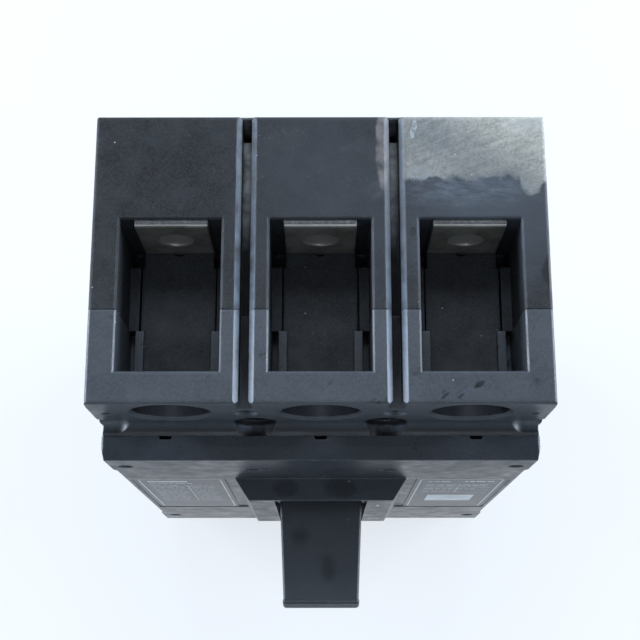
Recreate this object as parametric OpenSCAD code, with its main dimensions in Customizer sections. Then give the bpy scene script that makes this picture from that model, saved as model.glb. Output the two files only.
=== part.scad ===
// Three-pole moulded-case circuit breaker with a toggle handle.
// X runs across the poles, +Z is the line end, -Y is the front, Y = 0 is the mounting face.
// Every depth below is counted from the mounting face towards the front.

/* [Housing] */
// Width across the three poles at the widest
body_w = 150; // [146:1:190]
// How much each side draws in at the two ends
end_draw = 1; // [0:0.1:2]
// Length from the line end to the load end
body_l = 257; // [250:1:320]
// Depth of the base, up to its seam
base_d = 66.5; // [56:0.5:80]
// Height of the terminal shrouds in front of the seam
shroud_h = 30.5; // [27:0.5:40]
// Height of the plateau above the shrouds
plateau_h = 4; // [3:0.5:6]
// Length of the plateau and the front cover
plateau_l = 185.4; // [175:0.2:190]
// Radius of the hollow where the plateau rises from the shrouds
plateau_r = 5; // [4.5:0.5:12]
// Radius of the outer moulded edges
edge_r = 1.2; // [0.4:0.1:2]
// Radius of the long edges at the back
back_r = 1.8; // [1:0.1:3]
// Chamfer on both sides of a seam between mouldings
seam_bevel = 0.25; // [0.1:0.05:0.5]

/* [Poles] */
// Distance between pole centres
pitch = 48.5; // [46:0.5:52]
// Width of a barrier slot
slot_w = 3.2; // [2.5:0.1:4]
// Depth of a barrier slot from the end face
slot_l = 9; // [6:0.5:12]
// Chamfer at the mouth of a barrier slot
slot_bevel = 1.7; // [0.5:0.1:2.2]
// Height of that chamfer
slot_bevel_h = 1.4; // [0.5:0.1:2.2]
// Web that closes a barrier slot at the back
slot_web = 0.6; // [0.4:0.1:1.5]
// How far the web stops short of the end face
web_drop = 1.8; // [0.6:0.1:4]
// Height of the hook hole in front of that web
hook_h = 5.4; // [4:0.1:12]
// Depth of the hook hole from the end face
hook_l = 28; // [12:1:32]

/* [Terminal pockets] */
// Width of a pocket
pocket_w = 33; // [30:0.5:40]
// Depth of the pocket from the end face
pocket_l = 29.3; // [26:0.1:32]
// Rear wall of the pocket
pocket_back = 36; // [34:0.5:40]
// Height of the pocket, rear wall to front wall
pocket_h = 50.5; // [46:0.5:52]
// Chamfer around the mouth of a pocket
pocket_bevel = 0.6; // [0.2:0.1:1.5]
// Width of the ledges along the pocket floor, in the base
ledge_w = 3.3; // [2:0.1:4]
// Width of the joint beside a ledge
joint_w = 0.6; // [0.4:0.1:1]
// Width of the ribs along the pocket floor, in the middle cover
rib_w = 2.8; // [1.5:0.1:3]
// Width of the groove between a rib and the pocket wall
groove_w = 2.3; // [1:0.1:3]
// How far ledges and ribs stand above the pocket floor
rib_h = 1.2; // [0.5:0.1:3]
// Depth of the grooves below the pocket floor
groove_l = 5; // [2:0.5:8]
// Depth of the gaps beside a bar below the pocket floor
bar_gap_l = 10; // [4:0.5:12]

/* [Terminals] */
// Width of a terminal bar
bar_w = 23.7; // [20:0.1:28.5]
// Thickness of a terminal bar
bar_t = 5; // [4:0.5:8]
// Length of a terminal bar
bar_l = 42; // [34:1:50]
// Rounding of a bar's end
bar_edge = 1.2; // [0.3:0.1:1.6]
// How far a bar stands in front of the pocket's rear wall
bar_proud = 2.4; // [1:0.1:4]
// How far a bar ends behind the end face
bar_inset = 1.2; // [0.5:0.1:3]
// Radius of the clearance hole in a bar
bar_hole_r = 5.75; // [5.3:0.05:6.5]
// Distance from the end face to the terminal screw axis
screw_z = 15.4; // [14:0.1:16]
// Bore radius of the captive nut
nut_bore_r = 4.25; // [3:0.05:5]
// Width of the captive nut
nut_w = 17; // [15:0.5:20]
// Thickness of the captive nut
nut_t = 8.5; // [6:0.5:12]
// Radius of the screw-access hole in the shroud
access_r = 12.7; // [10:0.1:13]
// Chamfer around its mouth
access_bevel = 0.9; // [0.3:0.1:1.2]

/* [Mounting holes] */
// Distance between mounting holes across the poles
mount_x = 44; // [42:0.5:46]
// Distance between mounting holes along the breaker
mount_z = 194; // [180:1:196]
// Radius of a mounting hole
mount_r = 3.5; // [2.5:0.1:4]
// Radius of its counterbore
mount_head_r = 5.6; // [4.8:0.1:5.8]
// Radius of the chamfer at its mouth
mount_mouth_r = 7; // [6:0.1:7.4]
// Depth of the seat of the mounting screw's head
mount_seat = 30; // [12:1:50]

/* [Case screws] */
// Distance from the end face to the case screws and locating pins
case_screw_z = 15.9; // [14:0.1:18]
// Radius of the case screw's counterbore
case_head_r = 3.6; // [3:0.1:4.4]
// Chamfer around its mouth
case_bevel = 0.7; // [0.2:0.1:1]
// Distance from the centre line to a locating pin hole
pin_x = 69.6; // [67:0.1:71]
// Radius of a locating pin hole
pin_hole_r = 1.5; // [1:0.1:2]

/* [Front cover] */
// Width of the front cover at its seam
cover_w = 148.4; // [140:0.2:149]
// Height of the front cover above the plateau
cover_h = 8.3; // [6:0.1:12]
// Height of its straight skirt above the plateau
skirt_h = 3.7; // [2:0.1:5]
// How much each side draws in towards the front
cover_draw = 1; // [0:0.1:2]
// How much each end draws in towards the front
cover_end_draw = 0.4; // [0:0.1:1]
// Extra draw of the sides along the waist
waist = 1.3; // [0:0.1:2]
// Length of the waist
waist_l = 136; // [110:1:150]
// Length of the sunk label band
band_l = 90; // [84:1:100]
// Width across the sunk label band
band_w = 142; // [140:0.2:143]
// Depth of the sunk label band
band_d = 0.5; // [0.3:0.1:1]
// Radius of the front cover's screw holes
cover_hole_r = 2.5; // [2.4:0.1:3.6]
// Chamfer at their mouths
cover_hole_bevel = 0.4; // [0.2:0.1:1]
// Distance from the centre line to the outer screws
outer_screw_x = 67.8; // [62:0.1:68.5]
// Distance from the middle to the outer screws
outer_screw_z = 78; // [72:0.5:82]
// Distance from the centre line to the inner screws
inner_screw_x = 23.7; // [20:0.1:28]
// Distance from the middle to the inner screws
inner_screw_z = 69; // [60:0.5:74]
// Width of a pry notch at its mouth
notch_w = 4.7; // [3:0.1:6]
// Height of a pry notch
notch_h = 1.2; // [0.6:0.1:2]
// Depth of a pry notch
notch_l = 6; // [2:0.5:8]
// Spacing of the outer pry notches from the centre line
notch_x = 52.5; // [46:0.5:58]

/* [Handle surround] */
// Height of the surround above the front cover
surround_h = 8.2; // [6:0.1:12]
// Width of the surround at its foot
surround_w = 63.6; // [60:0.2:68]
// Width of the surround at its front
surround_top_w = 54; // [50:0.2:58]
// Line-side end of the surround, from the middle
surround_z1 = 47.6; // [46:0.2:50]
// Length of the surround
surround_l = 73.6; // [72:0.2:84]
// Wall at each end of the slot
slot_wall = 2; // [1:0.1:3]
// Width of the handle slot
handle_slot_w = 34.4; // [33:0.1:41.5]

/* [Handle] */
// Distance from the middle to the handle pivot, towards the line end
pivot_z = 13; // [11:0.5:15]
// Radius of the hollow that the dust shutter turns in
shutter_room_r = 55; // [54:0.5:56]
// Running gap between shutter and hollow
shutter_gap = 1; // [0.5:0.1:2]
// Thickness of the dust shutter
shutter_t = 2; // [1.5:0.1:3]
// Half angle of the dust shutter
shutter_a = 64; // [62:1:66]
// Length from the pivot to the tip of the grip
grip_reach = 95.6; // [80:0.2:110]
// Width of the grip where it leaves the slot
grip_w = 32.2; // [26:0.1:32.4]
// Width of the grip at the tip
grip_tip_w = 28.2; // [24:0.1:30]
// Thickness of the grip where it leaves the slot
grip_t = 15; // [12:0.5:16]
// Thickness of the grip at the tip
grip_tip_t = 9.4; // [7:0.2:12]
// Length of the lip around the tip
lip_l = 1.6; // [1:0.1:4]
// How far the lip stands out
lip_h = 0.25; // [0.1:0.05:0.8]
// Lean of the handle at rest, between its two stops
rest_lean = 8; // [0:1:12]
// Radius of the pivot pin
pin_r = 4; // [3:0.1:5]
// Running clearance on the pivot pin
pin_gap = 0.05; // [0.02:0.01:0.1]
// Thickness of a lever cheek
cheek_t = 2.5; // [2:0.1:4]

/* [Labels] */
// Width of a label plate
label_w = 34.2; // [28:0.1:36]
// Length of a label plate
label_l = 88.6; // [70:0.1:89.6]
// Thickness of a label plate
label_t = 0.3; // [0.2:0.1:0.5]
// Distance from the centre line to a label's middle
label_x = 53.1; // [51:0.1:54]

/* [Hidden] */
$fn = 64;
eps = 0.5;

end_z = body_l / 2;
end_w = body_w - 2 * end_draw;
draw_l = 12;
shroud_d = base_d + shroud_h;
plateau_d = shroud_d + plateau_h;
cover_d = plateau_d + cover_h;
surround_d = cover_d + surround_h;
half_plateau = plateau_l / 2;
plateau_w = cover_w - 1;
cover_z = half_plateau - 0.3;

pocket_front = pocket_back + pocket_h;
pocket_z = end_z - pocket_l;
ledge_x = pocket_w / 2 - ledge_w;
rib_x = pocket_w / 2 - groove_w - rib_w;
tongue_t = 6;
mount_bevel = 1.4;
bar_gap_d = 5.6;
bar_face = pocket_back + bar_proud;
bar_back = bar_face - bar_t;
bar_end_z = end_z - bar_inset;
term_z = end_z - screw_z;
case_z = end_z - case_screw_z;
case_seat = base_d + 6;
scoop_r = 4.4;
scoop_z = half_plateau + 4.1;
scoop_x = body_w / 2 - 6.3;

room_x = handle_slot_w / 2 + 4.8;
pivot_d = surround_d - 2.5 - shutter_room_r;
shutter_r = shutter_room_r - shutter_gap;
shutter_in = shutter_r - shutter_t;
lever_top = shutter_in - 3;
cheek_x = 14;
eye_r = 7;
slot_top = surround_z1 - slot_wall;
slot_bottom = surround_z1 - surround_l + slot_wall;
grip_root = surround_d - pivot_d;
screw_head_t = 2.6;
cover_seat = plateau_d + 2;

// ---- helpers ----

// points of an arc about c
function arc(c, r, a0, a1, n = 6) = [for (i = [0:n]) let (a = a0 + (a1 - a0) * i / n) c + r * [cos(a), sin(a)]];

// extrudes a drawing made in X and Z from depth d0 to depth d1
module deep(d0, d1) {
    translate([0, -d0, 0]) rotate([90, 0, 0]) linear_extrude(d1 - d0) children();
}

// extrudes a drawing made in depth and Z across the width w
module across(w) {
    translate([-w / 2, 0, 0]) rotate([90, 0, 90]) linear_extrude(w) mirror([1, 0]) children();
}

// extrudes a drawing made in X and depth along the length l
module along(l) {
    translate([0, 0, -l / 2]) linear_extrude(l) mirror([0, 1]) children();
}

// round bar along Y from depth d0 to depth d1
module rod(r, d0, d1, r2 = 0) {
    translate([0, -d0, 0]) rotate([90, 0, 0]) cylinder(h = d1 - d0, r1 = r, r2 = r2 == 0 ? r : r2);
}

// both ends of the breaker
module ends() {
    children();
    mirror([0, 0, 1]) children();
}

// both sides of the breaker
module sides() {
    children();
    mirror([1, 0, 0]) children();
}

// the three poles
module poles() {
    for (i = [-1:1]) translate([i * pitch, 0, 0]) children();
}

// the two gaps between the poles
module gaps() {
    for (i = [-1, 1]) translate([i * pitch / 2, 0, 0]) children();
}

// ---- housing outline and profiles ----

// outline of the housing from the front, with the barrier slots
module outline() {
    w = body_w / 2;
    e = end_w / 2;
    r = edge_r;
    difference() {
        polygon(concat(
            [[w, -end_z + draw_l], [w, end_z - draw_l]],
            arc([e - r, end_z - r], r, 0, 90), arc([-e + r, end_z - r], r, 90, 180),
            [[-w, end_z - draw_l], [-w, -end_z + draw_l]],
            arc([-e + r, -end_z + r], r, 180, 270), arc([e - r, -end_z + r], r, 270, 360)));
        for (m = [0, 1]) mirror([0, m]) for (x = [-pitch / 2, pitch / 2]) translate([x, end_z])
            polygon([[-slot_w / 2 - slot_bevel, eps], [-slot_w / 2 - slot_bevel, 0],
                     [-slot_w / 2, -slot_bevel_h], [-slot_w / 2, -slot_l], [slot_w / 2, -slot_l],
                     [slot_w / 2, -slot_bevel_h], [slot_w / 2 + slot_bevel, 0],
                     [slot_w / 2 + slot_bevel, eps]]);
    }
}

// side profile of the base: depth across, Z up
module base_profile() {
    r = back_r;
    b = seam_bevel;
    polygon(concat(arc([r, -end_z + r], r, 180, 270), [[base_d - b, -end_z], [base_d, -end_z + b],
                   [base_d, end_z - b], [base_d - b, end_z]], arc([r, end_z - r], r, 90, 180)));
}

// side profile of the middle cover, with the hollow that rises to the plateau
module mid_profile() {
    r = edge_r;
    h = plateau_r;
    a = acos(1 - plateau_h / h);
    b = seam_bevel;
    upper = concat([[base_d, end_z - b], [base_d + b, end_z]], arc([shroud_d - r, end_z - r], r, 90, 0),
                   arc([shroud_d + h, half_plateau + h * sin(a)], h, 180, 180 + a, 10));
    lower = [for (i = [len(upper) - 1:-1:0]) [upper[i][0], -upper[i][1]]];
    polygon(concat(upper, lower));
}

// cross profile of base and middle cover: X across, depth up
module cross_profile() {
    w = body_w / 2;
    p = plateau_w / 2;
    r = edge_r;
    k = back_r;
    b = seam_bevel;
    half = concat(arc([w - k, k], k, 270, 360), [[w, base_d - b], [w - b, base_d], [w, base_d + b]],
                  arc([w - r, shroud_d - r], r, 0, 90), [[p, shroud_d], [p, plateau_d]]);
    polygon(concat(half, [for (i = [len(half) - 1:-1:0]) [-half[i][0], half[i][1]]]));
}

// cuts the long back edge round where the side draws in, at the corner towards +X and +Z
module drawn_edge() {
    k = back_r;
    translate([body_w / 2, 0, end_z - draw_l]) rotate([0, -atan(end_draw / draw_l), 0])
        translate([0, 0, -0.5]) linear_extrude(draw_l + 3) difference() {
            translate([-k, -k]) square(k + eps);
            translate([-k, -k]) circle(r = k);
        }
}

// ---- cuts shared by base and middle cover ----

// one terminal pocket at the line end, down to the ledges and ribs along its floor
module pocket() {
    deep(pocket_back, pocket_front) translate([-pocket_w / 2, pocket_z + rib_h])
        square([pocket_w, pocket_l - rib_h + eps]);
    deep(pocket_back, base_d) translate([-ledge_x, pocket_z]) square([2 * ledge_x, rib_h + eps]);
    deep(base_d, pocket_front) translate([-rib_x, pocket_z]) square([2 * rib_x, rib_h + eps]);
    sides() {
        deep(pocket_back, base_d) translate([ledge_x - joint_w, pocket_z - groove_l])
            square([joint_w, groove_l + rib_h]);
        deep(base_d, pocket_front) translate([pocket_w / 2 - groove_w, pocket_z - groove_l])
            square([groove_w, groove_l + rib_h + eps]);
        deep(pocket_back, bar_face + bar_gap_d) translate([bar_w / 2, pocket_z - bar_gap_l])
            square([(pocket_w - bar_w) / 2, bar_gap_l + rib_h + eps]);
    }
    pocket_mouth();
}

// chamfer around the mouth of a pocket
module pocket_mouth() {
    b = pocket_bevel;
    w = pocket_w / 2;
    intersection() {
        deep(pocket_back - 2 * b, pocket_front + 2 * b)
            polygon([[-w, end_z - b], [-w - 2 * b, end_z + b], [w + 2 * b, end_z + b], [w, end_z - b]]);
        across(pocket_w + 4 * b)
            polygon([[pocket_back, end_z - b], [pocket_back - 2 * b, end_z + b],
                     [pocket_front + 2 * b, end_z + b], [pocket_front, end_z - b]]);
    }
}

// one mounting hole in the corner towards +X and +Z
module mount_hole() {
    translate([mount_x / 2, 0, mount_z / 2]) {
        rod(mount_r, -eps, mount_seat + eps);
        rod(mount_head_r, mount_seat, shroud_d);
        rod(mount_head_r, shroud_d - mount_bevel, shroud_d, mount_mouth_r);
        rod(mount_mouth_r, shroud_d - 0.01, plateau_d + eps);
    }
}

// room for the shutter and the lever
module handle_room() {
    intersection() {
        translate([-room_x, -pivot_d, pivot_z]) rotate([0, 90, 0])
            cylinder(h = 2 * room_x, r = shutter_room_r, $fn = 96);
        translate([-body_w, -surround_d - eps, -body_l])
            cube([2 * body_w, surround_d + eps - pivot_d + 2, 2 * body_l]);
    }
}

// ---- housing ----

module base() {
    color("#2c2e31") difference() {
        union() {
            intersection() {
                union() {
                    deep(0, base_d) outline();
                    ends() gaps() web();
                }
                across(body_w + 2) base_profile();
                along(body_l + 2) cross_profile();
            }
            ends() poles() tongue();
        }
        ends() {
            poles() pocket();
            sides() mount_hole();
            poles() terminal_seat();
            sides() drawn_edge();
            gaps() translate([-slot_w / 2, -slot_web - hook_h, end_z - hook_l])
                cube([slot_w, hook_h, hook_l + eps]);
            gaps() for (m = [0, 1]) mirror([m, 0]) slot_corner();
            gaps() translate([0, 0, case_z]) rod(1.7, case_seat - 22, base_d + eps);
        }
        handle_room();
        translate([-room_x, -base_d - eps, pivot_z - eye_r - 2])
            cube([2 * room_x, base_d + eps - pivot_d + eye_r + 2, 2 * eye_r + 4]);
        translate([-room_x - 2, -pivot_d, pivot_z]) rotate([0, 90, 0])
            cylinder(h = 2 * room_x + 4, r = pin_r + pin_gap);
    }
}

// web that closes the back of a barrier slot
module web() {
    translate([-slot_w / 2 - eps, -slot_web, end_z - slot_l - 1])
        cube([slot_w + 2 * eps, slot_web, slot_l + 1 - web_drop]);
}

// rounds the corner where a barrier slot meets the back, above the web
module slot_corner() {
    r = back_r;
    translate([slot_w / 2 + r, -r, end_z - web_drop]) linear_extrude(web_drop + eps) difference() {
        translate([-r - eps, 0]) square([r + eps, r + eps]);
        circle(r = r);
    }
}

// floor plate of a pocket: part of the base that reaches in under the middle cover
module tongue() {
    deep(base_d - 1, pocket_front) translate([-rib_x, pocket_z - tongue_t]) square([2 * rib_x, tongue_t]);
}

// seat of a terminal bar and its captive nut in the base
module terminal_seat() {
    deep(bar_back, bar_face) translate([-bar_w / 2, bar_end_z - bar_l]) square([bar_w, bar_l]);
    deep(bar_back - nut_t, bar_back) translate([-nut_w / 2, term_z - nut_w / 2]) square(nut_w);
    translate([0, 0, term_z]) rod(nut_bore_r + 1, bar_back - nut_t - 10, bar_face);
    translate([0, -bar_face + 1, pocket_z - 6]) cylinder(r = 2.2, h = 6 + eps);
}

module mid_cover() {
    color("#3a3d42") difference() {
        intersection() {
            deep(base_d, plateau_d) outline();
            across(body_w + 2) mid_profile();
            along(body_l + 2) cross_profile();
        }
        ends() {
            poles() pocket();
            poles() tongue();
            poles() translate([0, 0, term_z]) {
                rod(access_r, pocket_front - eps, shroud_d + eps);
                rod(access_r, shroud_d - access_bevel, shroud_d + 0.01, access_r + access_bevel);
            }
            sides() mount_hole();
            gaps() translate([0, 0, case_z]) {
                rod(2.2, base_d - eps, shroud_d + eps);
                rod(case_head_r, case_seat, shroud_d + eps);
                rod(case_head_r, shroud_d - case_bevel, shroud_d + 0.01, case_head_r + case_bevel);
            }
            gaps() slot_mouth();
            sides() translate([pin_x, 0, case_z - 0.9]) rod(pin_hole_r, shroud_d - 6, shroud_d + eps);
            sides() translate([scoop_x, -shroud_d - 1, scoop_z]) scoop();
        }
        handle_room();
        ends() sides() {
            translate([outer_screw_x, 0, outer_screw_z]) rod(1.7, plateau_d - 12, plateau_d + eps);
            translate([inner_screw_x, 0, inner_screw_z]) rod(1.7, plateau_d - 12, plateau_d + eps);
        }
    }
}

// round-ended scoop that runs out through the side
module scoop() {
    rotate([0, 90, 0]) rotate_extrude()
        polygon(concat(arc([0, 0], scoop_r, -90, 0, 9), [[scoop_r, 20], [0, 20]]));
}

// chamfered front mouth of a barrier slot
module slot_mouth() {
    b = 1.1;
    translate([0, 0, end_z - slot_l]) linear_extrude(slot_l + eps) mirror([0, 1])
        polygon([[-slot_w / 2, shroud_d - b], [-slot_w / 2 - b - eps, shroud_d + eps],
                 [slot_w / 2 + b + eps, shroud_d + eps], [slot_w / 2, shroud_d - b]]);
}

// ---- front cover ----

// outline of the front cover, with the drawn-in waist when w2 is narrower
module cover_outline(w1, w2) {
    z = cover_z;
    s = waist_l / 2;
    t = s + 5;
    polygon(concat(arc([w1 / 2 - 1, z - 1], 1, 0, 90, 4), arc([-w1 / 2 + 1, z - 1], 1, 90, 180, 4),
                   [[-w1 / 2, t], [-w2 / 2, s], [-w2 / 2, -s], [-w1 / 2, -t]],
                   arc([-w1 / 2 + 1, -z + 1], 1, 180, 270, 4), arc([w1 / 2 - 1, -z + 1], 1, 270, 360, 4),
                   [[w1 / 2, -t], [w2 / 2, -s], [w2 / 2, s], [w1 / 2, t]]));
}

// profile of the front cover over the length l: straight skirt, then drawn in by d at each end
module skirt_profile(l, d) {
    a = l / 2;
    k = plateau_d + skirt_h;
    polygon([[-a, plateau_d], [-a, k], [-a + d, cover_d], [a - d, cover_d], [a, k], [a, plateau_d]]);
}

// cross profile of the handle surround
module surround_cross() {
    a = surround_w / 2;
    b = surround_top_w / 2;
    r = 0.8;
    polygon(concat([[-a, cover_d - eps], [-a, cover_d]], arc([-b + r, surround_d - r], r, 150, 90, 4),
                   arc([b - r, surround_d - r], r, 90, 30, 4), [[a, cover_d], [a, cover_d - eps]]));
}

module front_cover() {
    color("#2f3236") difference() {
        union() {
            intersection() {
                union() {
                    deep(plateau_d, plateau_d + skirt_h) cover_outline(cover_w, cover_w);
                    deep(plateau_d + skirt_h, cover_d) cover_outline(cover_w, cover_w - 2 * waist - 1.4);
                }
                along(body_l) skirt_profile(cover_w, cover_draw);
                across(body_w) mirror([1, -1]) skirt_profile(2 * cover_z, cover_end_draw);
            }
            translate([0, 0, surround_z1 - surround_l / 2]) along(surround_l) surround_cross();
        }
        // sunk label band
        sides() deep(cover_d - band_d, cover_d + 0.01)
            translate([surround_w / 2, -band_l / 2]) square([(band_w - surround_w) / 2, band_l]);
        // handle slot
        deep(plateau_d - eps, surround_d + eps)
            translate([-handle_slot_w / 2, slot_bottom]) square([handle_slot_w, slot_top - slot_bottom]);
        handle_room();
        ends() {
            sides() {
                translate([outer_screw_x, 0, outer_screw_z]) cover_screw_hole();
                translate([inner_screw_x, 0, inner_screw_z]) cover_screw_hole();
            }
            for (x = [-notch_x, 0, notch_x]) translate([x, 0, 0]) pry_notch();
        }
    }
}

// deep hole of a front-cover screw
module cover_screw_hole() {
    rod(1.7, plateau_d - eps, cover_d + eps);
    rod(cover_hole_r, cover_seat, cover_d + eps);
    rod(cover_hole_r, cover_d - cover_hole_bevel, cover_d + 0.01, cover_hole_r + cover_hole_bevel);
}

// small pry notch at the seam of the front cover
module pry_notch() {
    w = notch_w / 2;
    translate([0, 0, half_plateau - notch_l]) linear_extrude(notch_l + 1) mirror([0, 1])
        polygon([[-w, plateau_d - 0.01], [-w + notch_h / 2, plateau_d + notch_h],
                 [w - notch_h / 2, plateau_d + notch_h], [w, plateau_d - 0.01]]);
}

// ---- handle ----

// places what is drawn about the pivot, with the grip along -Y, at the lean of the rest pose
module at_pivot() {
    translate([0, -pivot_d, pivot_z]) rotate([-rest_lean, 0, 0]) children();
}

// cross section of the grip, extruded over a short length at distance r
module grip_slice(r, w, t, c, l = 0.1) {
    translate([0, -r, 0]) rotate([90, 0, 0]) linear_extrude(l)
        polygon(concat(arc([w / 2 - c, t / 2 - c], c, 0, 90, 4), arc([-w / 2 + c, t / 2 - c], c, 90, 180, 4),
                       arc([-w / 2 + c, -t / 2 + c], c, 180, 270, 4),
                       arc([w / 2 - c, -t / 2 + c], c, 270, 360, 4)));
}

module handle() {
    neck = grip_reach - lip_l;
    color("#34373b") at_pivot() {
        // grip
        hull() {
            grip_slice(lever_top, grip_w, grip_t, 1);
            grip_slice(neck, grip_tip_w, grip_tip_t, 1);
        }
        // rounded lip around the tip
        hull() {
            grip_slice(neck - 0.3, grip_tip_w, grip_tip_t, 1);
            grip_slice(neck + 0.2, grip_tip_w + 2 * lip_h, grip_tip_t + 2 * lip_h, 1);
            grip_slice(grip_reach - 0.7, grip_tip_w + 2 * lip_h, grip_tip_t + 2 * lip_h, 1);
            grip_slice(grip_reach - 0.1, grip_tip_w - 0.8, grip_tip_t - 0.8, 0.8);
        }
        // dust shutter
        translate([-handle_slot_w / 2 - 2, 0, 0]) rotate([0, 90, 0]) rotate([0, 0, 270 - shutter_a])
            rotate_extrude(angle = 2 * shutter_a, $fn = 128)
                translate([shutter_in, 0]) square([shutter_t, handle_slot_w + 4]);
    }
}

module handle_lever() {
    color("#9a9ea3") at_pivot() difference() {
        union() {
            sides() translate([cheek_x, 0, 0]) {
                rotate([0, 90, 0]) cylinder(h = cheek_t, r = eye_r);
                translate([0, -lever_top, -eye_r]) cube([cheek_t, lever_top, 2 * eye_r]);
            }
            translate([-cheek_x, -lever_top, -eye_r]) cube([2 * cheek_x, cheek_t, 2 * eye_r]);
        }
        translate([-room_x, 0, 0]) rotate([0, 90, 0]) cylinder(h = 2 * room_x, r = pin_r + pin_gap);
    }
}

module pivot_pin() {
    color("#b5b8bc") translate([-room_x - 2, -pivot_d, pivot_z]) rotate([0, 90, 0])
        cylinder(h = 2 * room_x + 4, r = pin_r);
}

// ---- terminals ----

// one terminal bar at the line end of the middle pole, with a rounded end
module terminal() {
    r = bar_edge;
    color("#b9bcbd") difference() {
        across(bar_w) polygon(concat([[bar_back, bar_end_z - bar_l]],
                                     arc([bar_back + r, bar_end_z - r], r, 180, 90),
                                     arc([bar_face - r, bar_end_z - r], r, 90, 0),
                                     [[bar_face, bar_end_z - bar_l]]));
        translate([0, 0, term_z]) {
            rod(bar_hole_r, bar_back - eps, bar_face + eps);
            rod(bar_hole_r, bar_face - 0.4, bar_face + 0.01, bar_hole_r + 0.4);
        }
    }
}

// the captive nut behind it
module nut() {
    color("#c9c6b8") difference() {
        deep(bar_back - nut_t, bar_back) translate([-nut_w / 2, term_z - nut_w / 2]) square(nut_w);
        translate([0, 0, term_z]) rod(nut_bore_r, bar_back - nut_t - eps, bar_face);
    }
}

module line_at(i) translate([i * pitch, 0, 0]) children();
module load_at(i) translate([i * pitch, 0, 0]) mirror([0, 0, 1]) children();

// ---- screws ----

// pan-head screw seated at depth d, its shank reaching back over length l
module screw(d, head_r, l) {
    difference() {
        union() {
            rod(head_r, d, d + screw_head_t);
            rod(1.7, d - l, d + eps);
        }
        for (a = [0, 90]) translate([0, -d - screw_head_t + 1.4, 0]) rotate([90, a, 0])
            linear_extrude(2) square([head_r * 1.1, 0.8], center = true);
    }
}

module cover_screws() {
    color("#6f7377") sides() {
        translate([outer_screw_x, 0, outer_screw_z]) screw(cover_seat, cover_hole_r - 0.5, 12);
        translate([inner_screw_x, 0, inner_screw_z]) screw(cover_seat, cover_hole_r - 0.5, 12);
    }
}

module case_screws() {
    color("#6f7377") gaps() translate([0, 0, case_z]) screw(case_seat, case_head_r - 0.5, 20);
}

module label() {
    color("#3c3f44") deep(cover_d - band_d, cover_d - band_d + label_t)
        translate([label_x - label_w / 2, -label_l / 2]) square([label_w, label_l]);
}

base();
mid_cover();
front_cover();
handle();
handle_lever();
pivot_pin();
line_at(-1) terminal();  // line_terminal_left
line_at(0) terminal();  // line_terminal_centre
line_at(1) terminal();  // line_terminal_right
load_at(-1) terminal();  // load_terminal_left
load_at(0) terminal();  // load_terminal_centre
load_at(1) terminal();  // load_terminal_right
line_at(-1) nut();  // line_nut_left
line_at(0) nut();  // line_nut_centre
line_at(1) nut();  // line_nut_right
load_at(-1) nut();  // load_nut_left
load_at(0) nut();  // load_nut_centre
load_at(1) nut();  // load_nut_right
cover_screws();  // cover_screws_top
mirror([0, 0, 1]) cover_screws();  // cover_screws_bottom
case_screws();  // case_screws_line
mirror([0, 0, 1]) case_screws();  // case_screws_load
mirror([1, 0, 0]) label();  // label_left
label();  // label_right
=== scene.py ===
# %% [markdown]
# # A three-pole moulded-case circuit breaker
#
# The breaker is a stack of three dark mouldings: a base, a middle cover and a
# front cover with the raised surround of the toggle handle. The CAD model holds
# every size. This file adds what light and hands add: the skin of the
# mouldings, plating, scuffs, dust, threads and printed marks. Lengths are in
# millimetres in the text of each step, and `MM` turns them to Blender's metres.

from math import pi, radians

import bmesh
import bpy
import numpy as np
from mathutils import Matrix, Vector


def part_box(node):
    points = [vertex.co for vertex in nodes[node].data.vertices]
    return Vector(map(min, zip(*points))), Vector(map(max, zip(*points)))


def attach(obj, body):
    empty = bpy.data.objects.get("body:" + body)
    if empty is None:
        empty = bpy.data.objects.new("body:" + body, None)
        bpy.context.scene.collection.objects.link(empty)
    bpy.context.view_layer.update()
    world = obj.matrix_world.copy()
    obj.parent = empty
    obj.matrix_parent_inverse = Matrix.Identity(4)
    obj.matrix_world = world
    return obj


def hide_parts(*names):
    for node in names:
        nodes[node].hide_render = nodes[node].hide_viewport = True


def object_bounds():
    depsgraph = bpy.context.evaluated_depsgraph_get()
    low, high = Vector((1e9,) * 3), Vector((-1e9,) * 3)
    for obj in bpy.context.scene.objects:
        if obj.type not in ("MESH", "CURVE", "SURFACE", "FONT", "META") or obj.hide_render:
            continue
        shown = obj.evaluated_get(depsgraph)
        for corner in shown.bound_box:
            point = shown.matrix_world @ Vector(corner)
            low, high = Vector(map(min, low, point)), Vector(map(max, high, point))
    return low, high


MM = 0.001

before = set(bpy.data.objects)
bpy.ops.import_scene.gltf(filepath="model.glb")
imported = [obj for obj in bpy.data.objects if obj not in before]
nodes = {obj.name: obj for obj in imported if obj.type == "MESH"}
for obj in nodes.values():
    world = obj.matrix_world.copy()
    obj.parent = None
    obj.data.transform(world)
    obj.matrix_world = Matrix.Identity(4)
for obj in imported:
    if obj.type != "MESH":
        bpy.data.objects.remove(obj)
cad_box = [list(corner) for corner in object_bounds()]
cad_low, cad_high = [Vector(corner) for corner in cad_box]

# %% [markdown]
# ## The camera
#
# A breaker that stands on its load end is looked at from above its line end,
# with the mounting face away from the viewer. The lens is a short telephoto,
# so the far end shrinks only a little. Elevation, yaw and roll are turned one
# after the other, the way a tripod head is set.

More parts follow.
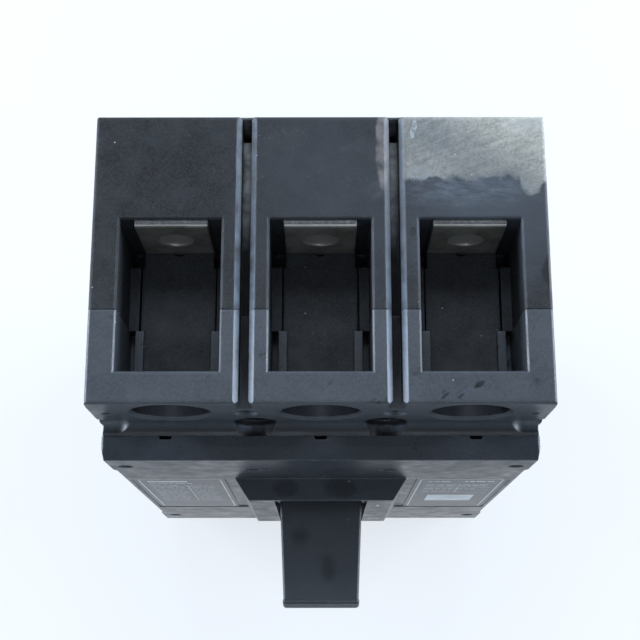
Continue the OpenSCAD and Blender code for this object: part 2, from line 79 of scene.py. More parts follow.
# %% Camera
def make_camera(place, elevation, yaw, roll, lens):
    """A camera at a place in mm. It starts level, looking along +Y, tips down, then turns and rolls."""
    camera = bpy.data.objects.new("camera", bpy.data.cameras.new("camera"))
    camera.data.lens = lens
    camera.data.sensor_width = 36
    camera.data.clip_start = 0.01
    turn = (Matrix.Rotation(radians(yaw), 4, "Y")
            @ Matrix.Rotation(radians(90 - elevation), 4, "X")
            @ Matrix.Rotation(radians(roll), 4, "Z"))
    camera.matrix_world = Matrix.Translation(Vector(place) * MM) @ turn
    bpy.context.scene.collection.objects.link(camera)
    bpy.context.scene.camera = camera
    return camera


camera = make_camera(place=(0.52, -172.96, 517.47), elevation=75.18, yaw=0.10, roll=-0.026, lens=71.44)
print("camera", [round(c, 3) for c in camera.location])

# %% [markdown]
# ## Small helpers for materials
#
# A hex colour is what a paint card gives, but a shader wants linear light, so
# one function turns one to the other. A second one adds a node, sets its
# sockets and links it, which keeps each material short enough to read.

# %% Colours and nodes
def linear(hex_colour):
    """An sRGB hex colour as linear RGBA: each channel follows the sRGB curve."""
    values = [int(hex_colour[i:i + 2], 16) / 255 for i in (1, 3, 5)]
    curve = [v / 12.92 if v <= 0.04045 else ((v + 0.055) / 1.055) ** 2.4 for v in values]
    return (*curve, 1.0)


def add(tree, kind, settings=None, **sockets):
    """Adds a node. Settings are its own properties, and sockets are values or outputs to link."""
    node = tree.nodes.new(kind)
    for name, value in (settings or {}).items():
        setattr(node, name, value)
    for name, value in sockets.items():
        key = name.replace("_", " ").strip()
        socket = node.inputs[int(key)] if key.isdigit() else node.inputs[key]
        if isinstance(value, bpy.types.NodeSocket):
            tree.links.new(value, socket)
        else:
            socket.default_value = value
    return node


print("a mid grey is", [round(c, 3) for c in linear("#808080")], "in linear light")

# %% Materials and who wears them
def new_material(name):
    """An empty material with its output node."""
    material = bpy.data.materials.new(name)
    material.use_nodes = True
    tree = material.node_tree
    tree.nodes.clear()
    return material, tree, add(tree, "ShaderNodeOutputMaterial")


def wear(material, *names):
    """Puts one material on each named CAD piece."""
    for name in names:
        nodes[name].data.materials.clear()
        nodes[name].data.materials.append(material)
    print(material.name, "on", ", ".join(names))

# %% [markdown]
# ## Masks
#
# A worn surface is paint by numbers: a mask says where, and a colour or a
# roughness says what. Every mask here is worked out from a place on the object
# and a size in millimetres, never from an image, so it stays where it is when
# the camera or the handle moves. Five kinds of mask make all the finishes: soft
# random patches, a step along an axis, a ragged ellipse round a point, and the
# product or the greatest of other masks.

# %% Patches and steps
def patches(tree, place, size, low, high, detail=4.0, rough=0.55, turn=(0, 0, 0), longer=None):
    """Soft random patches about `size` mm across: 0 where the noise is below `low`, 1 above `high`.

    With `longer`, the axes are turned by degrees and the patches are that many times longer along each.
    """
    if longer:
        place = add(tree, "ShaderNodeMapping", {"vector_type": "TEXTURE"}, Vector=place,
                    Rotation=[radians(a) for a in turn], Scale=longer).outputs[0]
    noise = add(tree, "ShaderNodeTexNoise", None, Vector=place, Scale=1 / (size * MM), Detail=detail,
                Roughness=rough)
    return add(tree, "ShaderNodeMapRange", None, Value=noise.outputs["Fac"], From_Min=low,
               From_Max=high).outputs[0]


def past(tree, place, axis, start, full):
    """A step along an axis: 0 up to `start` mm, 1 past `full` mm, and a straight ramp between them."""
    at = add(tree, "ShaderNodeSeparateXYZ", None, Vector=place)
    return add(tree, "ShaderNodeMapRange", None, Value=at.outputs[axis], From_Min=start * MM,
               From_Max=full * MM).outputs[0]


# %% Ragged ellipses
def spot(tree, place, centre, half, ragged=0.5, soft=0.15, grit=5.0):
    """A mask round a point: the distance over the half-sizes, plus a noise of `grit` mm, fades out at 1.

    `ragged` is how far the noise pushes the outline, as a share of the size, and `soft` is half the width of
    its fade. A half-size of hundreds of mm makes a rod that runs right through the breaker.
    """
    away = add(tree, "ShaderNodeVectorMath", {"operation": "SUBTRACT"}, _0=place, _1=[c * MM for c in centre])
    away = add(tree, "ShaderNodeVectorMath", {"operation": "MULTIPLY"}, _0=away.outputs[0],
               _1=[1 / (h * MM) for h in half])
    length = add(tree, "ShaderNodeVectorMath", {"operation": "LENGTH"}, _0=away.outputs[0])
    noise = add(tree, "ShaderNodeTexNoise", None, Vector=place, Scale=1 / (grit * MM), Detail=6.0)
    pushed = add(tree, "ShaderNodeMath", {"operation": "MULTIPLY_ADD"}, _0=noise.outputs["Fac"],
                 _1=-2 * ragged, _2=length.outputs["Value"])
    return add(tree, "ShaderNodeMapRange", None, Value=pushed.outputs[0], From_Min=1 + soft - ragged,
               From_Max=1 - soft - ragged).outputs[0]


# %% Masks put together, and put to use
def product(tree, *masks):
    """All masks at once: their product."""
    result = masks[0]
    for mask in masks[1:]:
        result = add(tree, "ShaderNodeMath", {"operation": "MULTIPLY"}, _0=result, _1=mask).outputs[0]
    return result


def either(tree, *masks):
    """The greatest of the masks at each point."""
    result = masks[0]
    for mask in masks[1:]:
        result = add(tree, "ShaderNodeMath", {"operation": "MAXIMUM"}, _0=result, _1=mask).outputs[0]
    return result


def tint(tree, skin, mask, hex_colour, strength=1.0):
    """Paints a colour over the skin where the mask is 1."""
    share = add(tree, "ShaderNodeMath", {"operation": "MULTIPLY"}, _0=mask, _1=strength)
    return add(tree, "ShaderNodeMix", {"data_type": "RGBA"}, _0=share.outputs[0], _6=skin,
               _7=linear(hex_colour)).outputs[2]


def stain(tree, skin, rough, mask, hex_colour, strength, rougher):
    """Paints the skin and adds `rougher` to its roughness where the mask is 1. Grease is smoother, so below 0."""
    rough = add(tree, "ShaderNodeMath", {"operation": "MULTIPLY_ADD"}, _0=mask, _1=rougher, _2=rough)
    return tint(tree, skin, mask, hex_colour, strength), rough.outputs[0]


print("masks ready")

# %% [markdown]
# ## Layers that every moulding carries
#
# No moulding is one flat colour. Its glass and filler lie unevenly below the
# skin, hands leave grease, tools leave hair scratches, and dust settles. Each
# of these is a layer here: a function that takes the skin's colour and
# roughness and gives them back changed. The same four lie on every moulding,
# and only their amounts differ.

# %% Clouds and dust
def clouds(tree, place, skin, rough, dark, light):
    """Soft clouds in the skin: dark ones of 26 mm, light ones of 13 mm, and a light mottle of 0.7 mm."""
    skin = tint(tree, skin, patches(tree, place, 26, 0.50, 0.72), dark, 0.8)
    skin = tint(tree, skin, patches(tree, place, 13, 0.44, 0.72, detail=7.0, rough=0.65), light, 0.7)
    mottle = patches(tree, place, 0.7, 0.40, 0.64, detail=5.0, rough=0.75)
    return tint(tree, skin, mottle, light, 0.8), rough


def dust(tree, place, skin, rough, amount=1.0):
    """Pale specks 0.2 to 0.5 mm across: one in each cell of 2.6 mm whose random number is high enough."""
    cells = add(tree, "ShaderNodeTexVoronoi", {"feature": "F1"}, Vector=place, Scale=1 / (2.6 * MM),
                Randomness=1.0)
    near = add(tree, "ShaderNodeMapRange", None, Value=cells.outputs["Distance"], From_Min=0.12, From_Max=0.05)
    number = add(tree, "ShaderNodeSeparateColor", None, Color=cells.outputs["Color"])
    chosen = add(tree, "ShaderNodeMath", {"operation": "GREATER_THAN"}, _0=number.outputs[0],
                 _1=1 - 0.045 * amount)
    mask = product(tree, near.outputs[0], chosen.outputs[0])
    return tint(tree, skin, mask, "#B9C2C8", 0.75), rough


# %% Scratches and grease
def scuffs(tree, place, skin, rough, colour, amount=0.5):
    """Hair scratches from handling: streaks 0.4 mm wide along three ways, kept only inside soft patches."""
    ways = ((0, 0, 24), (0, 0, -58), (0, 38, 0))
    lines = [patches(tree, place, 0.4, 0.68, 0.78, detail=2.0, turn=way, longer=(12, 1, 1)) for way in ways]
    mask = product(tree, either(tree, *lines), patches(tree, place, 17, 0.50, 0.66))
    return tint(tree, skin, mask, colour, amount), rough


def blotches(tree, place, skin, rough, colour, strength=0.6):
    """Dark greasy smudges 2 to 5 mm long, in loose groups, on all that lies behind the front sills."""
    smudge = patches(tree, place, 3.0, 0.60, 0.68, detail=2.0, turn=(0, 0, 35), longer=(1.7, 1, 1.4))
    groups = patches(tree, place, 22, 0.50, 0.60, detail=2.0)
    mask = product(tree, smudge, groups, past(tree, place, "Y", -97.5, -96.5))
    return stain(tree, skin, rough, mask, colour, strength, -0.10)


print("layers ready")

# %% [markdown]
# ## Edges and the moulded skin
#
# Edges of a moulding are where hands and benches rub first, so they go pale
# and smooth. Blender's Bevel node gives a normal that is rounded over an edge,
# and the more it disagrees with the face's own normal, the nearer the edge is.
# The same node rounds the light on edges that the CAD model leaves sharp.

# %% Worn edges, from two normals
def worn_edge(tree, radius):
    """A mask of the edges: the normal rounded over `radius` mm turns 10 to 31 degrees from the face's own."""
    rounded = add(tree, "ShaderNodeBevel", {"samples": 4}, Radius=radius * MM)
    face = add(tree, "ShaderNodeNewGeometry")
    agree = add(tree, "ShaderNodeVectorMath", {"operation": "DOT_PRODUCT"}, _0=rounded.outputs[0],
                _1=face.outputs["True Normal"])
    return add(tree, "ShaderNodeMapRange", None, Value=agree.outputs["Value"], From_Min=0.985,
               From_Max=0.86).outputs[0]


# %% One function for the moulded plastics
def moulded(name, colour, dark, light, roughness, grain, layers, edge_share=0.25, soft=0.5, polish=0.14):
    """A moulded plastic: a dark body, soft clouds, the given layers, worn edges, and a fine grain in its skin.

    `grain` is the depth of the skin's texture in mm. The edges look rounded over `soft` mm, are tinted by
    `edge_share`, and are smoother than the faces by `polish`.
    """
    material, tree, out = new_material(name)
    place = add(tree, "ShaderNodeTexCoord").outputs["Object"]
    skin, _ = clouds(tree, place, linear(colour), None, dark, light)
    uneven = patches(tree, place, 7, 0.3, 0.7, detail=8.0, rough=0.7)
    rough = add(tree, "ShaderNodeMapRange", None, Value=uneven, To_Min=roughness - 0.10,
                To_Max=roughness + 0.11).outputs[0]
    for layer, settings in layers:
        skin, rough = layer(tree, place, skin, rough, **settings)
    edges = worn_edge(tree, 0.7)
    skin = tint(tree, skin, product(tree, edges, patches(tree, place, 5, 0.30, 0.55)), "#8E99A4", edge_share)
    rough = add(tree, "ShaderNodeMath", {"operation": "MULTIPLY_ADD"}, _0=edges, _1=-polish, _2=rough)
    # a spark-eroded mould leaves a grain of 0.1 mm or so: it is drawn at 0.35 mm here, so that it shows
    fine = add(tree, "ShaderNodeTexNoise", None, Vector=place, Scale=1 / (0.35 * MM), Detail=2.0)
    rounded = add(tree, "ShaderNodeBevel", {"samples": 4}, Radius=soft * MM)
    bump = add(tree, "ShaderNodeBump", None, Strength=0.5, Distance=grain * MM, Height=fine.outputs["Fac"],
               Normal=rounded.outputs[0])
    surface = add(tree, "ShaderNodeBsdfPrincipled", None, Base_Color=skin, Roughness=rough.outputs[0],
                  IOR=1.5, Normal=bump.outputs[0])
    tree.links.new(surface.outputs[0], out.inputs["Surface"])
    print(name, "has", len(tree.nodes), "nodes")
    return material

# %% [markdown]
# ## Marks at one place
#
# Some wear belongs to one spot and not to the whole moulding: the pale patch
# where the right pole has dragged over a bench, an oily thumb mark, a worn
# strip beside a slot. They are layers too, made of ellipses and steps at
# places on the object. The places of the poles and of the end face are read
# from the CAD nodes, so the marks follow if a size changes.

# %% Places that the marks need
end_z = cad_high.z / MM
nut_low, nut_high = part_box("line_nut_right")
pole_x = (nut_low[0] + nut_high[0]) / 2 / MM
screw_z = (nut_low[2] + nut_high[2]) / 2 / MM
poles = (-pole_x, 0, pole_x)
slots = (-24.2, 24.2)
wells = [(x, end * 97) for end in (-1, 1) for x in (-22, 22)]
print("end face at", round(end_z, 1), "mm, poles at", [round(x, 1) for x in poles], "mm")

# %% The rubbed corner of the right pole
def rubbed_corner(tree, place):
    """The outline of the wear: x, y and z past a limit, where a noise moves the limit of y by up to 9 mm."""
    noise = add(tree, "ShaderNodeTexNoise", None, Vector=place, Scale=1 / (6 * MM), Detail=7.0, Roughness=0.6)
    at = add(tree, "ShaderNodeSeparateXYZ", None, Vector=place)
    pushed = add(tree, "ShaderNodeMath", {"operation": "MULTIPLY_ADD"}, _0=noise.outputs["Fac"], _1=-9 * MM,
                 _2=at.outputs["Y"])
    back = add(tree, "ShaderNodeMapRange", None, Value=pushed.outputs[0], From_Min=-27.2 * MM,
               From_Max=-25.8 * MM)
    field = product(tree, past(tree, place, "X", 26.6, 28.6), past(tree, place, "Z", end_z - 3, end_z - 1),
                    back.outputs[0])
    return either(tree, field, spot(tree, place, (68.8, -19, end_z), (4.4, 8.4, 6), 0.35, 0.12, 3.0))


def bench_wear(tree, place, skin, rough):
    """Pale filler that shows where the skin is rubbed off: cloudy, streaked along the drag, speckled and cut."""
    rubbed = rubbed_corner(tree, place)
    cloud = patches(tree, place, 9, 0.34, 0.62, detail=8.0, rough=0.7)
    streak = patches(tree, place, 1.9, 0.36, 0.62, detail=8.0, rough=0.75, turn=(0, 0, 21), longer=(7, 1, 1))
    speck = patches(tree, place, 0.8, 0.46, 0.62, detail=5.0, rough=0.75)
    cuts = patches(tree, place, 0.5, 0.64, 0.72, detail=1.0, turn=(0, 0, 23), longer=(18, 1, 1))
    less_worn = spot(tree, place, (36, -5, end_z), (15, 11, 6), 0.5, 0.7)
    bloom = either(tree, spot(tree, place, (32.5, -20.5, end_z), (4.4, 2.4, 6), 0.7, 0.3, 2.5),
                   spot(tree, place, (67, -3.5, end_z), (6.5, 3.0, 6), 0.7, 0.5, 3.0))
    depth = add(tree, "ShaderNodeMath", {"operation": "MULTIPLY_ADD"}, _0=cloud, _1=0.45, _2=0.62)
    skin = tint(tree, skin, product(tree, rubbed, depth.outputs[0]), "#BDBFB4")
    skin = tint(tree, skin, product(tree, rubbed, streak, cloud), "#EDEBDC", 0.9)
    skin = tint(tree, skin, product(tree, rubbed, speck), "#646A6C", 0.5)
    skin = tint(tree, skin, product(tree, rubbed, less_worn), "#4E5862", 0.6)
    skin = tint(tree, skin, product(tree, bloom, speck), "#BFCBD4", 0.6)
    skin = tint(tree, skin, product(tree, rubbed, cuts), "#DDE0DC", 0.3)
    rough = add(tree, "ShaderNodeMath", {"operation": "MULTIPLY_ADD"}, _0=rubbed, _1=0.12, _2=rough)
    return skin, rough.outputs[0]


print("the rubbed corner lies on z =", round(end_z, 1), "mm, from x = 27 mm")

# %% Haze, painted sheen and old marks on the end face
def haze_and_painted_sheen(tree, place, skin, rough):
    """A haze with its sheen painted in, round the rubbed corner and the middle pole, wisps below it, a dull left
    pole.
    """
    wisp = patches(tree, place, 1.8, 0.36, 0.66, detail=7.0, rough=0.7, turn=(0, 0, -4), longer=(3, 1, 1))
    below = spot(tree, place, (46, -26, end_z), (20, 4.5, 6), 0.6, 0.6, 5.0)
    dull = spot(tree, place, (-50, -30, end_z), (26, 40, 9), 0.4, 0.5, 9.0)
    # lighter tints over the right and middle poles: a real smear, with its sheen painted into the colour
    skin = tint(tree, skin, spot(tree, place, (54, -30, end_z), (26, 22, 9), 0.4, 0.7, 9.0), "#3B444E", 0.8)
    skin = tint(tree, skin, spot(tree, place, (2, -24, end_z), (22, 40, 9), 0.4, 0.7, 9.0), "#2A3037", 0.7)
    # pale wisps below: painted sheen
    skin = tint(tree, skin, product(tree, below, wisp), "#76838F", 0.42)
    rough = add(tree, "ShaderNodeMath", {"operation": "MULTIPLY_ADD"}, _0=dull, _1=0.2, _2=rough)
    return skin, rough.outputs[0]


def old_marks(tree, place, skin, rough):
    """A scraped chip on the right pole, a worn strip on the middle pole, and two oily thumb marks."""
    chip = either(tree, spot(tree, place, (31.2, -3.6, end_z), (0.8, 1.9, 6), 0.7, 0.15, 1.2),
                  spot(tree, place, (30.2, -6.4, end_z), (0.7, 1.7, 6), 0.7, 0.15, 1.2))
    strip = product(tree, spot(tree, place, (20.6, -11, end_z), (2.4, 14.5, 6), 0.25, 0.12, 3.0),
                    patches(tree, place, 5.0, 0.28, 0.56, detail=7.0))
    oil = either(tree, spot(tree, place, (75.0, -54, 122), (4.6, 7.6, 14), 0.25, 0.06, 3.0),
                 spot(tree, place, (29.8, -40.6, end_z), (1.0, 1.6, 6), 0.5, 0.1, 2.0))
    skin = tint(tree, skin, product(tree, chip, patches(tree, place, 0.8, 0.40, 0.55)), "#A9B6C0", 0.7)
    skin = tint(tree, skin, strip, "#948F8D", 0.5)
    return stain(tree, skin, rough, oil, "#0B0C0E", 0.8, -0.2)


print("haze and old marks ready")

# %% The slots between the poles
def painted_slot_shading(tree, place, skin, rough):
    """Painted light on the web at the back of each slot, painted shade further in, and painted highlights on the
    lips.

    The lips are where a face slants between X and Z: there |x times z| of its normal is near 0.5.
    """
    face = add(tree, "ShaderNodeNewGeometry")
    part = add(tree, "ShaderNodeSeparateXYZ", None, Vector=face.outputs["True Normal"])
    slant = add(tree, "ShaderNodeMath", {"operation": "ABSOLUTE"},
                _0=product(tree, part.outputs["X"], part.outputs["Z"]))
    slanted = add(tree, "ShaderNodeMapRange", None, Value=slant.outputs[0], From_Min=0.12, From_Max=0.30)
    for x in slots:
        # film: painted shade further into the slot, near black, and made rougher as well
        film = spot(tree, place, (x, -66, 0), (2.6, 29, 600), 0.1, 0.3, 5.0)
        # painted light on the web at the back of the slot
        painted_light_at_web = product(tree, spot(tree, place, (x - 0.6, -15, 0), (1.9, 19, 600), 0.3, 0.6, 5.0),
                          patches(tree, place, 4, 0.26, 0.56))
        # painted highlight on the slanted lips
        painted_lip_highlight = product(tree, spot(tree, place, (x, -50, 0), (4.6, 90, 600), 0.0, 0.1), slanted.outputs[0],
                      patches(tree, place, 7, 0.26, 0.60))
        skin, rough = stain(tree, skin, rough, film, "#050606", 0.95, 0.3)
        skin = tint(tree, skin, painted_light_at_web, "#A3A9A8", 0.7)
        skin = tint(tree, skin, painted_lip_highlight, "#8494A6", 0.5)
    return skin, rough


print("dirt in", len(slots), "slots, at x =", slots, "mm")

# %% Painted shade in the bores, the wells and the hollow round the plateau
def painted_shade_in_hollows(tree, place, skin, rough):
    """Painted shade: the bores, the wells and the hollow are darkened, the wells nearly to black.

    A bore or well is a rod through the breaker, cut off at a step in y. The hollow is all in front of y = -97.4.
    """
    below_bevel = past(tree, place, "Y", -96.2, -95.8)
    below_mouth = past(tree, place, "Y", -97.4, -97.1)
    for x, z in [(x, end * screw_z) for end in (-1, 1) for x in poles]:
        bore = spot(tree, place, (x, -85, z), (13.0, 400, 13.0), 0.0, 0.02)
        # painted shade in the bowl of each access bore
        skin = tint(tree, skin, product(tree, bore, below_bevel), "#121418", 0.75)
    for x, z in wells:
        well = spot(tree, place, (x, -85, z), (7.15, 400, 7.15), 0.0, 0.02)
        # painted shade, nearly black, down each mounting well
        skin = tint(tree, skin, product(tree, well, below_mouth), "#060708", 0.9)
    # painted shade over the hollow, all in front of y = -97.4
    return tint(tree, skin, past(tree, place, "Y", -97.4, -99.5), "#0E1013", 0.8), rough


def thumb_marks(tree, place, skin, rough, marks, colour):
    """Dark, slightly smoother finger marks: an ellipse round each place, with its half-sizes."""
    for centre, half in marks:
        mark = spot(tree, place, centre, half, 0.3, 0.25, 4.0)
        skin, rough = stain(tree, skin, rough, mark, colour, 0.6, -0.05)
    return skin, rough


# the counts are of the bores and wells that get painted shade
print("smooth walls in", 2 * len(poles), "bores and", len(wells), "wells")

# %% [markdown]
# ## The three mouldings and the handle
#
# The base carries the live parts, so it is compression-moulded from polyester
# with glass fibre, which stands heat and arcs. It comes out nearly black and
# satin, and rubs pale. The covers and the handle are injection-moulded
# polyamide, greyer and smoother. All four are dielectrics: their colour is
# dark and their shine is white, so a rougher skin looks greyer under a lamp.

# %% The base: glass-filled polyester, compression-moulded, satin and almost black
polyester = moulded("glass-filled polyester", "#0C0E11", "#090A0C", "#2C3136", 0.60, 0.03,
                    [(blotches, {"colour": "#101114"}), (painted_slot_shading, {}), (bench_wear, {}), (haze_and_painted_sheen, {}),
                     (old_marks, {}), (scuffs, {"colour": "#98A3AB", "amount": 0.3}), (dust, {})],
                    edge_share=0.22, soft=1.0, polish=0.30)
wear(polyester, "base")

# %% The middle cover: injection-moulded polyamide, greyer, with oily smudges
handled = [(scuffs, {"colour": "#8C979F", "amount": 0.12}), (dust, {})]
grey_polyamide = moulded("grey-black polyamide", "#393E44", "#2F3338", "#4A5158", 0.40, 0.025,
                         [(blotches, {"colour": "#0C0D0F", "strength": 0.85}), (painted_slot_shading, {}),
                          (painted_shade_in_hollows, {})] + handled, edge_share=0.25, soft=0.55)
wear(grey_polyamide, "mid_cover")

# %% The front cover: fire-rated polyamide, darker and smoother, with finger marks on the surround
surround_marks = [((-13, -113, 47.6), (4.6, 3.2, 5)), ((7.5, -113, 47.6), (6.2, 3.4, 5))]
black_polyamide = moulded("black polyamide", "#2B3037", "#23272B", "#3A4047", 0.34, 0.02,
                          [(thumb_marks, {"marks": surround_marks, "colour": "#1B1F24"})] + handled)
wear(black_polyamide, "front_cover")

# %% The handle: the same polyamide from a polished mould, with finger marks on the grip
handle_marks = [((2.5, -141, 10), (3.6, 6.0, 30)), ((-8, -129, 10), (4.0, 4.5, 30))]
smooth_polyamide = moulded("smooth black polyamide", "#31353A", "#272A2E", "#3A3F44", 0.40, 0.015,
                           [(thumb_marks, {"marks": handle_marks, "colour": "#1D2025"}),
                            (dust, {"amount": 0.6})])
wear(smooth_polyamide, "handle")

# %% [markdown]
# ## Metals
#
# The terminal bars are copper with a thin tin plating, which looks like dull
# silver and shows the fine lines of the rolled bar below it. The captive nuts
# and the screws are zinc-plated steel, cooler and a little yellow in places.
# The handle's lever is bare sheet steel. A metal's shine is its colour, and
# its roughness does the rest: brushed lines stretch it one way, smears raise
# it. The plating is dusty and dull, so it is mixed with some plain colour.

# %% What the press left on the bars, and highlights painted on them
bar_low, bar_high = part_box("line_terminal_left")
bar_front, bar_end = bar_low[1] / MM, bar_high[2] / MM


def bar_marks_and_highlights(tree, place, skin, rough, metallic):
    """Painted highlights on the walls of the bars' holes, and sheared ends: |z| past the bar's end, dark and torn.

    The front 0.5 mm of each end is left pale and less metallic: a painted highlight along the bar's front edge.
    """
    for x, z in [(x, end * screw_z) for x in poles for end in (-1, 1)]:
        # painted highlight: each hole's wall, and a thin ring round it, lightened
        skin = tint(tree, skin, spot(tree, place, (x, 0, z), (6.2, 900, 6.2), 0.0, 0.02), "#C9C8C2", 0.5)
    at = add(tree, "ShaderNodeSeparateXYZ", None, Vector=place)
    height = add(tree, "ShaderNodeMath", {"operation": "ABSOLUTE"}, _0=at.outputs["Z"])
    end = add(tree, "ShaderNodeMapRange", None, Value=height.outputs[0], From_Min=(bar_end - 0.3) * MM,
              From_Max=(bar_end - 0.1) * MM).outputs[0]
    torn = product(tree, end, past(tree, place, "Y", bar_front + 0.5, bar_front + 0.8))
    painted_edge_highlight = add(tree, "ShaderNodeMath", {"operation": "SUBTRACT"}, _0=end, _1=torn)
    metallic = add(tree, "ShaderNodeMath", {"operation": "MULTIPLY_ADD"}, _0=painted_edge_highlight.outputs[0], _1=-0.4,
                   _2=metallic)
    # the whole end is painted pale, then the torn part darkened, so only the front strip keeps this painted
    # highlight
    skin, rough = stain(tree, skin, rough, end, "#F0EFE9", 0.9, -0.08)
    skin, rough = stain(tree, skin, rough, torn, "#34363A", 0.9, 0.25)
    skin = tint(tree, skin, product(tree, torn, patches(tree, place, 1.2, 0.46, 0.66)), "#7F8486", 0.6)
    return skin, rough, metallic.outputs[0]


print("bars end at", round(bar_end, 1), "mm, their fronts at", round(bar_front, 1), "mm")

# %% Plated and brushed metals
def plated(name, colour, stained, roughness, line, along, smear=12.0, metallic=1.0, marks=None):
    """A metal with brushed lines `line` mm apart along an axis, soft stains `smear` mm across, and given marks."""
    material, tree, out = new_material(name)
    place = add(tree, "ShaderNodeTexCoord").outputs["Object"]
    longer = [25 if axis == along else 1 for axis in "XYZ"]
    brushed = add(tree, "ShaderNodeMapping", {"vector_type": "TEXTURE"}, Vector=place, Scale=longer)
    lines = add(tree, "ShaderNodeTexNoise", None, Vector=brushed.outputs[0], Scale=1 / (line * MM), Detail=3.0)
    stains = patches(tree, place, smear, 0.42, 0.66)
    rough = add(tree, "ShaderNodeMapRange", None, Value=lines.outputs["Fac"], To_Min=roughness - 0.08,
                To_Max=roughness + 0.10).outputs[0]
    skin, rough = stain(tree, linear(colour), rough, stains, stained, 1.0, 0.14)
    if marks:
        skin, rough, metallic = marks(tree, place, skin, rough, metallic)
    rounded = add(tree, "ShaderNodeBevel", {"samples": 4}, Radius=1.0 * MM)
    bump = add(tree, "ShaderNodeBump", None, Strength=0.35, Distance=0.02 * MM, Height=lines.outputs["Fac"],
               Normal=rounded.outputs[0])
    metal = add(tree, "ShaderNodeBsdfPrincipled", None, Base_Color=skin, Metallic=metallic, Roughness=rough,
                Normal=bump.outputs[0])
    tree.links.new(metal.outputs[0], out.inputs["Surface"])
    print(name, "has", len(tree.nodes), "nodes")
    return material


# %% The bars, the lever and the pin
ends = [(end, pole) for end in ("line", "load") for pole in ("left", "centre", "right")]
# tin over copper: dull silver, a little warm, lined along the bar by rolling
tinned = plated("tinned copper", "#A3A39C", "#7C7B74", 0.34, 0.5, "Z", metallic=0.75, marks=bar_marks_and_highlights)
# zinc on steel: paler and cooler, yellowed in spots of 6 mm
zinc = plated("zinc-plated steel", "#D0D3D0", "#A9A89E", 0.34, 0.3, "X", 6.0, metallic=0.7)
# bare cold-rolled sheet: grey, lined across the lever
sheet_steel = plated("cold-rolled steel", "#A2A5A8", "#7D8082", 0.38, 0.4, "Y")
wear(tinned, *[f"{end}_terminal_{pole}" for end, pole in ends])
wear(sheet_steel, "handle_lever")
wear(zinc, "pivot_pin")

# %% [markdown]
# ## A helper for new pieces
#
# Every new piece below is made of surfaces: grids of points worked out with
# numpy from two parameters, then joined into quads. Rows that meet, such as the
# seam round a screw or the pole at its tip, are merged, so each shape closes.
# Merging comes before the normals are turned outwards, because only a closed
# shape has an outside.

# %% Grids to pieces
def grid_quads(n, m, first):
    """The quads between neighbouring points of an n by m grid, whose points are numbered from `first`."""
    i, j = np.meshgrid(np.arange(n - 1), np.arange(m - 1), indexing="ij")
    corners = [i * m + j, (i + 1) * m + j, (i + 1) * m + j + 1, i * m + j + 1]
    return np.stack(corners, axis=-1).reshape(-1, 4) + first


def skin_over(name, grids, stands_for, material, body="breaker"):
    """One piece out of (n, m, 3) grids in mm: merged, turned outwards, shaded smooth, and tied to its body."""
    firsts = np.cumsum([0] + [grid.shape[0] * grid.shape[1] for grid in grids])
    points = np.concatenate([grid.reshape(-1, 3) for grid in grids])
    faces = np.concatenate([grid_quads(*grid.shape[:2], first) for grid, first in zip(grids, firsts)])
    mesh = bpy.data.meshes.new(name)
    mesh.from_pydata((points * MM).tolist(), [], faces.tolist())
    work = bmesh.new()
    work.from_mesh(mesh)
    bmesh.ops.remove_doubles(work, verts=work.verts, dist=1e-6)
    bmesh.ops.recalc_face_normals(work, faces=work.faces)
    work.to_mesh(mesh)
    work.free()
    mesh.shade_smooth()
    mesh.set_sharp_from_angle(angle=radians(35))
    mesh.materials.append(material)
    piece = bpy.data.objects.new(name, mesh)
    bpy.context.scene.collection.objects.link(piece)
    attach(piece, body)
    if stands_for:
        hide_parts(stands_for)
    print(name, "has", len(mesh.polygons), "faces")
    return piece

# %% [markdown]
# ## Captive nuts with a real thread
#
# Below each bar sits a square nut that can't turn. The CAD nut has a plain
# bore of the tapping size, so a new nut takes its place here, with an M10
# thread of 1.5 mm pitch. It is one closed surface: a loop in radius and depth
# is carried round the bore's axis. On the way through the bore the radius
# swings between crest and root, and the phase of that swing follows the angle,
# which is all that a helix is.

# %% Threads as a wave
def thread(depth, angle, pitch, crest, root):
    """A thread's radius: a triangle wave of depth/pitch + angle/turn between crest and root, tips cut flat."""
    phase = (depth / pitch + angle / (2 * pi)) % 1.0
    wave = np.clip(1.25 * np.abs(2 * phase - 1) - 0.125, 0, 1)
    return crest + (root - crest) * wave


print("an M10 nut's radius over a half pitch:", thread(np.array([0, 0.25, 0.5, 0.75]), 0, 1.5, 4.27, 4.95))

# %% Square nuts
def square_nut(name):
    """A square nut in its CAD node's box: its outline is at half / max(|cos|, |sin|), and its bore is threaded."""
    box_low, box_high = [np.array(corner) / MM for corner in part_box(name)]
    middle, half = (box_low + box_high) / 2, (box_high - box_low) / 2
    thick = 2 * half[1]
    pitch, crest, root = 1.5, 4.27, 4.95
    mouth, throat, sink, rounding = 5.9, 5.1, 0.55, 0.3
    angle = np.linspace(0, 2 * pi, 73)
    outline = half[0] / np.maximum(np.abs(np.cos(angle)), np.abs(np.sin(angle)))
    outline = np.minimum(outline, half[0] * 1.36)
    front = [(outline, rounding), (outline - rounding, 0.0), (mouth + 0 * angle, 0.0), (throat + 0 * angle, sink)]
    rows = front + [(thread(d, angle, pitch, crest, root), d) for d in np.linspace(0.7, thick - 0.7, 46)]
    rows += [(r, thick - d) for r, d in front[::-1]] + [front[0]]
    grid = np.array([np.stack([middle[0] + r * np.cos(angle), box_low[1] + d + 0 * angle,
                               middle[2] + r * np.sin(angle)], axis=-1) for r, d in rows])
    return skin_over("threaded_" + name, [grid], name, zinc)


nuts = [square_nut(f"{end}_nut_{pole}") for end, pole in ends]
print(len(nuts), "threaded nuts")

# %% [markdown]
# ## Screws with a cross recess
#
# The covers are held by thread-forming screws with a pan head and a cross
# recess. One surface makes a screw: from the middle of the head outwards,
# down its side, under it and along the thread to the tip. The recess is a
# depth subtracted where the point lies in one of two crossed bars. The screws
# of one CAD node are grids of one piece, because they stand for one node.

# %% Screws
screw_head, dome, recess = 2.4, 0.3, 0.95
shank, core, coarse_pitch = 1.65, 1.25, 1.3


